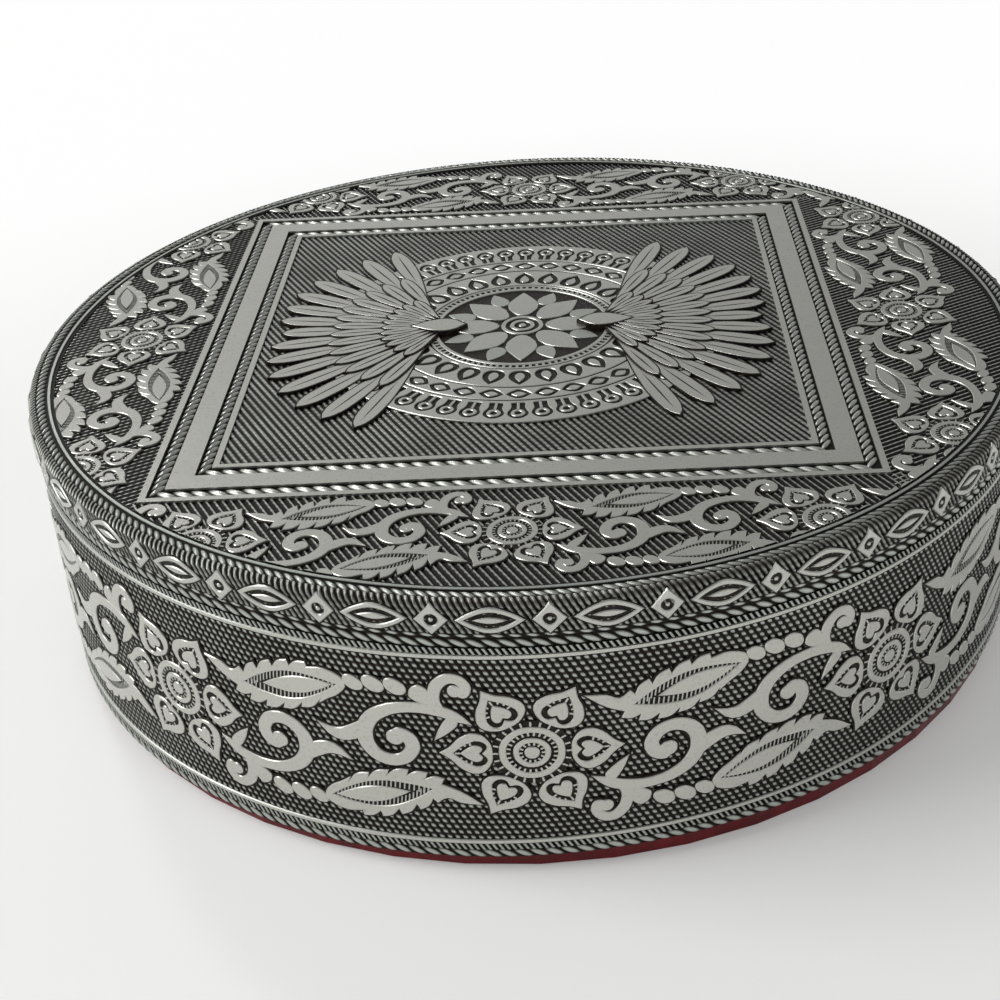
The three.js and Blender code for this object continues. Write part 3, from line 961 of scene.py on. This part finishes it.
LOTUS_BACK = mirrored([(9.6, 0), (10.6, 1.6), (13.0, 1.4), (15.2, 0, "sharp")])


class TRINKET_OT_medallion(bpy.types.Operator):
    """The round medallion: beads in arched wells, lozenges, petals and a lotus"""

    bl_idname = "trinket.medallion"
    bl_label = "Medallion"

    def execute(self, context):
        sizes = context.scene.trinket_sizes
        crown, floor = sizes.crown, 0.3
        bm = bmesh.new()
        put(bm, plates([circle(0, 0, sizes.medallion - 0.3, 48)], floor, edge=0.05), floor=True)
        # Each raised band's outer and inner radius, and the wells sunk in it
        for outer, inner, wells in (
            (sizes.medallion, 29.9, ring_of(ARCH, ARCH_COUNT)),
            (29.5, 25.1, ring_of(LOZENGE, LOZENGE_COUNT)),
            (24.7, 18.1, ring_of(BAND_PETAL, PETAL_COUNT)),
            (17.8, 17.3, []),
            (16.4, 15.6, []),
        ):
            band = [circle(0, 0, outer, 32), circle(0, 0, inner, 32), *wells]
            put(bm, plates(band, crown, edge=0.1))
        for count, outlines in (
            (ARCH_COUNT, [ARCH_RING, ARCH_HOLE]),
            (ARCH_COUNT, [ARCH_STEM]),
            (LOZENGE_COUNT, [LOZENGE_CORE]),
            (PETAL_COUNT, [BAND_PETAL_CORE]),
            (LOTUS_COUNT, [LOTUS]),
        ):
            shapes = [copy for outline in outlines for copy in ring_of(outline, count)]
            put(bm, plates(shapes, crown * 0.96, edge=0.1, resolution=2))
        backs = ring_of(LOTUS_BACK, LOTUS_COUNT, pi / LOTUS_COUNT)
        put(bm, plates(backs, crown * 0.8, edge=0.1, resolution=2))
        put(bm, ticks(spokes(16.85, 90), length=1.0, width=0.5, crown=crown * 0.9))
        rings = [circle(0, 0, radius) for radius in (3.9, 3.1, 2.3, 1.5, 0.7)]
        put(bm, plates(rings, crown, edge=0.1))
        open_below(bm)
        as_object("medallion", on_panel(shaded(bm, crown, level=0.85)), "lid", ["metal", "oxide"])
        return {"FINISHED"}


# A row's leaves, spread in degrees, start, end, how much further its outer leaves reach, and half width
FAN_ROWS = ((15, 140, 15, 31, 9, 1.85), (14, 130, 9.0, 21.5, 4, 1.35), (11, 116, 4.0, 12.5, 1.5, 1.0))
# A leaf's edge as shares of its length and half width
FAN_LEAF = ((0.35, 0.7), (0.72, 1.0), (0.93, 0.6))
FAN_AT = 13.5
FAN_BUD = mirrored([(10.5, 0, "sharp"), (13.2, 2.3), (16.4, 2.2), (20.5, 0, "sharp")])
LEAF_STEP = 0.015


class TRINKET_OT_leaf_fans(bpy.types.Operator):
    """Two fans of overlapping leaves that flank the lotus and reach over the medallion's edge"""

    bl_idname = "trinket.leaf_fans"
    bl_label = "Leaf Fans"

    def execute(self, context):
        crown = context.scene.trinket_sizes.crown + 0.05
        bm = bmesh.new()
        for side in (0, pi):
            level = crown
            for count, spread, start, reach, more, half in FAN_ROWS:
                for i in sorted(range(count), key=lambda i: -abs(i - (count - 1) / 2)):
                    a = radians(spread) * (i / (count - 1) - 0.5)
                    long = reach + more * abs(sin(a)) - start
                    edge = [(start + long * along, half * wide) for along, wide in FAN_LEAF]
                    leaf = mirrored([(start, 0, "sharp"), *edge, (start + long, 0, "sharp")])
                    rib = pointed_oval((start + long * 0.3, 0), (start + long * 0.92, 0), 0.16)
                    leaf, rib = (moved(moved(moved(line, turn=a), FAN_AT), turn=side) for line in (leaf, rib))
                    # A dark plate 0.22 mm wider than each leaf is a painted shadow on the leaves beneath and
                    # on the field
                    put(bm, plates([leaf], level - 0.02, edge=0.01, grow=0.22), floor=True)
                    put(bm, plates([leaf], level, edge=0.08))
                    put(bm, plates([rib], level + 0.01, edge=0.01), floor=True)
                    level += LEAF_STEP
            bud = moved(FAN_BUD, turn=side)
            # The bud's dark plate, 0.3 mm wider, is a painted shadow round it
            put(bm, plates([bud], level, edge=0.01, grow=0.3), floor=True)
            put(bm, plates([bud], level + 0.06))
        # The leaves' lower parts are sunk in the field and show from no side
        cut(bm, (0, 0, 0.2), (0, 0, -1))
        as_object("leaf_fans", on_panel(shaded(bm, crown)), "lid", ["metal", "oxide"])
        return {"FINISHED"}


class TRINKET_OT_carcass(bpy.types.Operator):
    """Board, lacquer and velvet on the carcass that the frame holds"""

    bl_idname = "trinket.carcass"
    bl_label = "Carcass Finishes"

    def execute(self, context):
        for node, key in (
            ("base_board", "lacquer"),
            ("wall_hoop", "board"),
            ("lid_board", "board"),
            ("lid_hoop", "board"),
            ("locating_collar", "velvet"),
        ):
            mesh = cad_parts[node].data
            mesh.materials.clear()
            mesh.materials.append(finish(key))
        return {"FINISHED"}


class TRINKET_OT_linings(bpy.types.Operator):
    """Velvet on the wall, floor and lid, and felt under the base"""

    bl_idname = "trinket.linings"
    bl_label = "Linings"

    def execute(self, context):
        for node, key, body in (
            ("wall_lining", "velvet", "box"),
            ("lid_lining", "velvet", "lid"),
            ("base_felt", "felt", "box"),
        ):
            lower, upper, radius = extent(node)
            inner = radius - LINING if node == "wall_lining" else 0
            soft = 0.25
            profile = [(inner, lower), (radius, lower), (radius, upper - soft), (radius - soft, upper)]
            profile += [(inner + soft, upper), (inner, upper - soft)] if inner else [(0, upper)]
            as_object(f"{node}_cloth", spun(profile), body, [key], [node])
        lower, upper, radius = extent("floor_pad")
        # The pad's round shoulder, and how much lower its rim lies than its middle
        inwards, down, dome = 1.2, 0.8, 0.2
        profile = [(0, lower), (radius, lower)]
        for i in range(7):
            a = pi / 2 * i / 6
            shoulder = upper - dome - down
            profile.append((radius - inwards + inwards * cos(a), shoulder + down * sin(a)))
        profile += [(radius * share, upper - dome * share) for share in (0.8, 0.5)]
        profile += [(0, upper)]
        pad = as_object("floor_pad_velvet", spun(profile), "box", ["velvet"], ["floor_pad"])
        return {"FINISHED"}


class TRINKET_OT_stage(bpy.types.Operator):
    """Pale floor, soft studio light and the photograph's camera"""

    bl_idname = "trinket.stage"
    bl_label = "Stage"

    def execute(self, context):
        scene = context.scene
        scene.view_settings.view_transform = "Standard"
        self.floor()
        self.lights()
        self.camera(scene)
        return {"FINISHED"}

    def floor(self):
        """A wide sheet of pale paper."""
        floor = placed("paper_floor", kept(grid(1, 1, half=4), "paper_floor"))
        floor.data.materials.append(finish("paper"))

    def lights(self):
        """A key and a back lamp from the left, a fill from the right, and a surround that darkens upwards."""
        # Each lamp's place and side in metres, and its power in watts
        for name, place, size, power in (
            ("key", (-1.7, -0.1, 1.5), 1.4, 32),
            ("back", (-0.42, 0.62, 0.78), 0.1, 1.3),
            ("fill", (0.8, -0.7, 0.6), 0.8, 0.6),
        ):
            data = bpy.data.lights.new(name, "AREA")
            data.size = size
            data.energy = power
            lamp = placed(name, data)
            lamp.location = place
            lamp.rotation_euler = (-Vector(place)).to_track_quat("-Z", "Y").to_euler()
        world = bpy.data.worlds.new("studio")
        bpy.context.scene.world = world
        world.use_nodes = True
        tree = world.node_tree
        tree.nodes.clear()
        way = add_node(tree, "TexCoord").outputs["Generated"]
        parts = add_node(tree, "SeparateXYZ", links={"Vector": way}).outputs
        # The surround is white up to 5 degrees, mid grey above that and dark overhead
        greys = ((5, 1.0), (20, 0.58), (40, 0.56), (60, 0.33))
        stops = [(sin(radians(angle)), (grey, grey, grey, 1.0)) for angle, grey in greys]
        # The light comes from the left, so the surround falls off to the right
        side = remapped(tree, parts["X"], start=(-0.12, 0.16), to=(1.0, 0.7))
        strength = maths(tree, "MULTIPLY", toned(tree, parts["Z"], stops), side)
        surround = added(tree, "Background", {"Color": (1, 1, 1, 1)}, {"Strength": strength})
        add_node(tree, "OutputWorld", links={"Surface": surround})

    def camera(self, scene):
        """The camera that was fitted to the photograph: its focal length, aim and place."""
        data = bpy.data.cameras.new("camera")
        camera = placed("camera", data)
        frame_px, focal_px, centre_px = 1000, 1633.4, (607.9, 426.6)
        data.sensor_width = 36
        data.lens = focal_px / frame_px * data.sensor_width
        data.shift_x = (frame_px / 2 - centre_px[0]) / frame_px
        data.shift_y = (centre_px[1] - frame_px / 2) / frame_px
        elevation, azimuth, roll = (radians(a) for a in (29.02, -0.37, -2.12))
        aim = Matrix.Rotation(azimuth, 4, "Z") @ Matrix.Rotation(pi / 2 - elevation, 4, "X")
        place = Matrix.Translation(Vector((11.6, -275.6, 180.4)) * MM)
        camera.matrix_world = place @ aim @ Matrix.Rotation(roll, 4, "Z")
        data.clip_start = 0.01
        scene.camera = camera


class TRINKET_PT_panel(bpy.types.Panel):
    """The operators and sizes in the sidebar."""

    bl_idname = "TRINKET_PT_panel"
    bl_label = "Trinket Box"
    bl_space_type = "VIEW_3D"
    bl_region_type = "UI"
    bl_category = "Trinket Box"

    def draw(self, context):
        for operator in OPERATORS:
            self.layout.operator(operator.bl_idname)
        for group in (context.scene.trinket_sizes, context.scene.trinket_colours):
            for key in group.__annotations__:
                self.layout.prop(group, key)


OPERATORS = (
    TRINKET_OT_stage,
    TRINKET_OT_wall_strip,
    TRINKET_OT_rim_band,
    TRINKET_OT_lid_scroll,
    TRINKET_OT_panel,
    TRINKET_OT_medallion,
    TRINKET_OT_leaf_fans,
    TRINKET_OT_carcass,
    TRINKET_OT_linings,
)
CLASSES = (BoxSizes, BoxColours, *OPERATORS, TRINKET_PT_panel)


def register():
    for each in CLASSES:
        bpy.utils.register_class(each)
    bpy.types.Scene.trinket_sizes = PointerProperty(type=BoxSizes)
    bpy.types.Scene.trinket_colours = PointerProperty(type=BoxColours)


def unregister():
    del bpy.types.Scene.trinket_colours
    del bpy.types.Scene.trinket_sizes
    for each in reversed(CLASSES):
        bpy.utils.unregister_class(each)


def main():
    register()
    for operator in OPERATORS:
        name = operator.bl_idname.split(".")[1]
        getattr(bpy.ops.trinket, name)()
    bpy.context.view_layer.update()


if __name__ == "__main__":
    main()
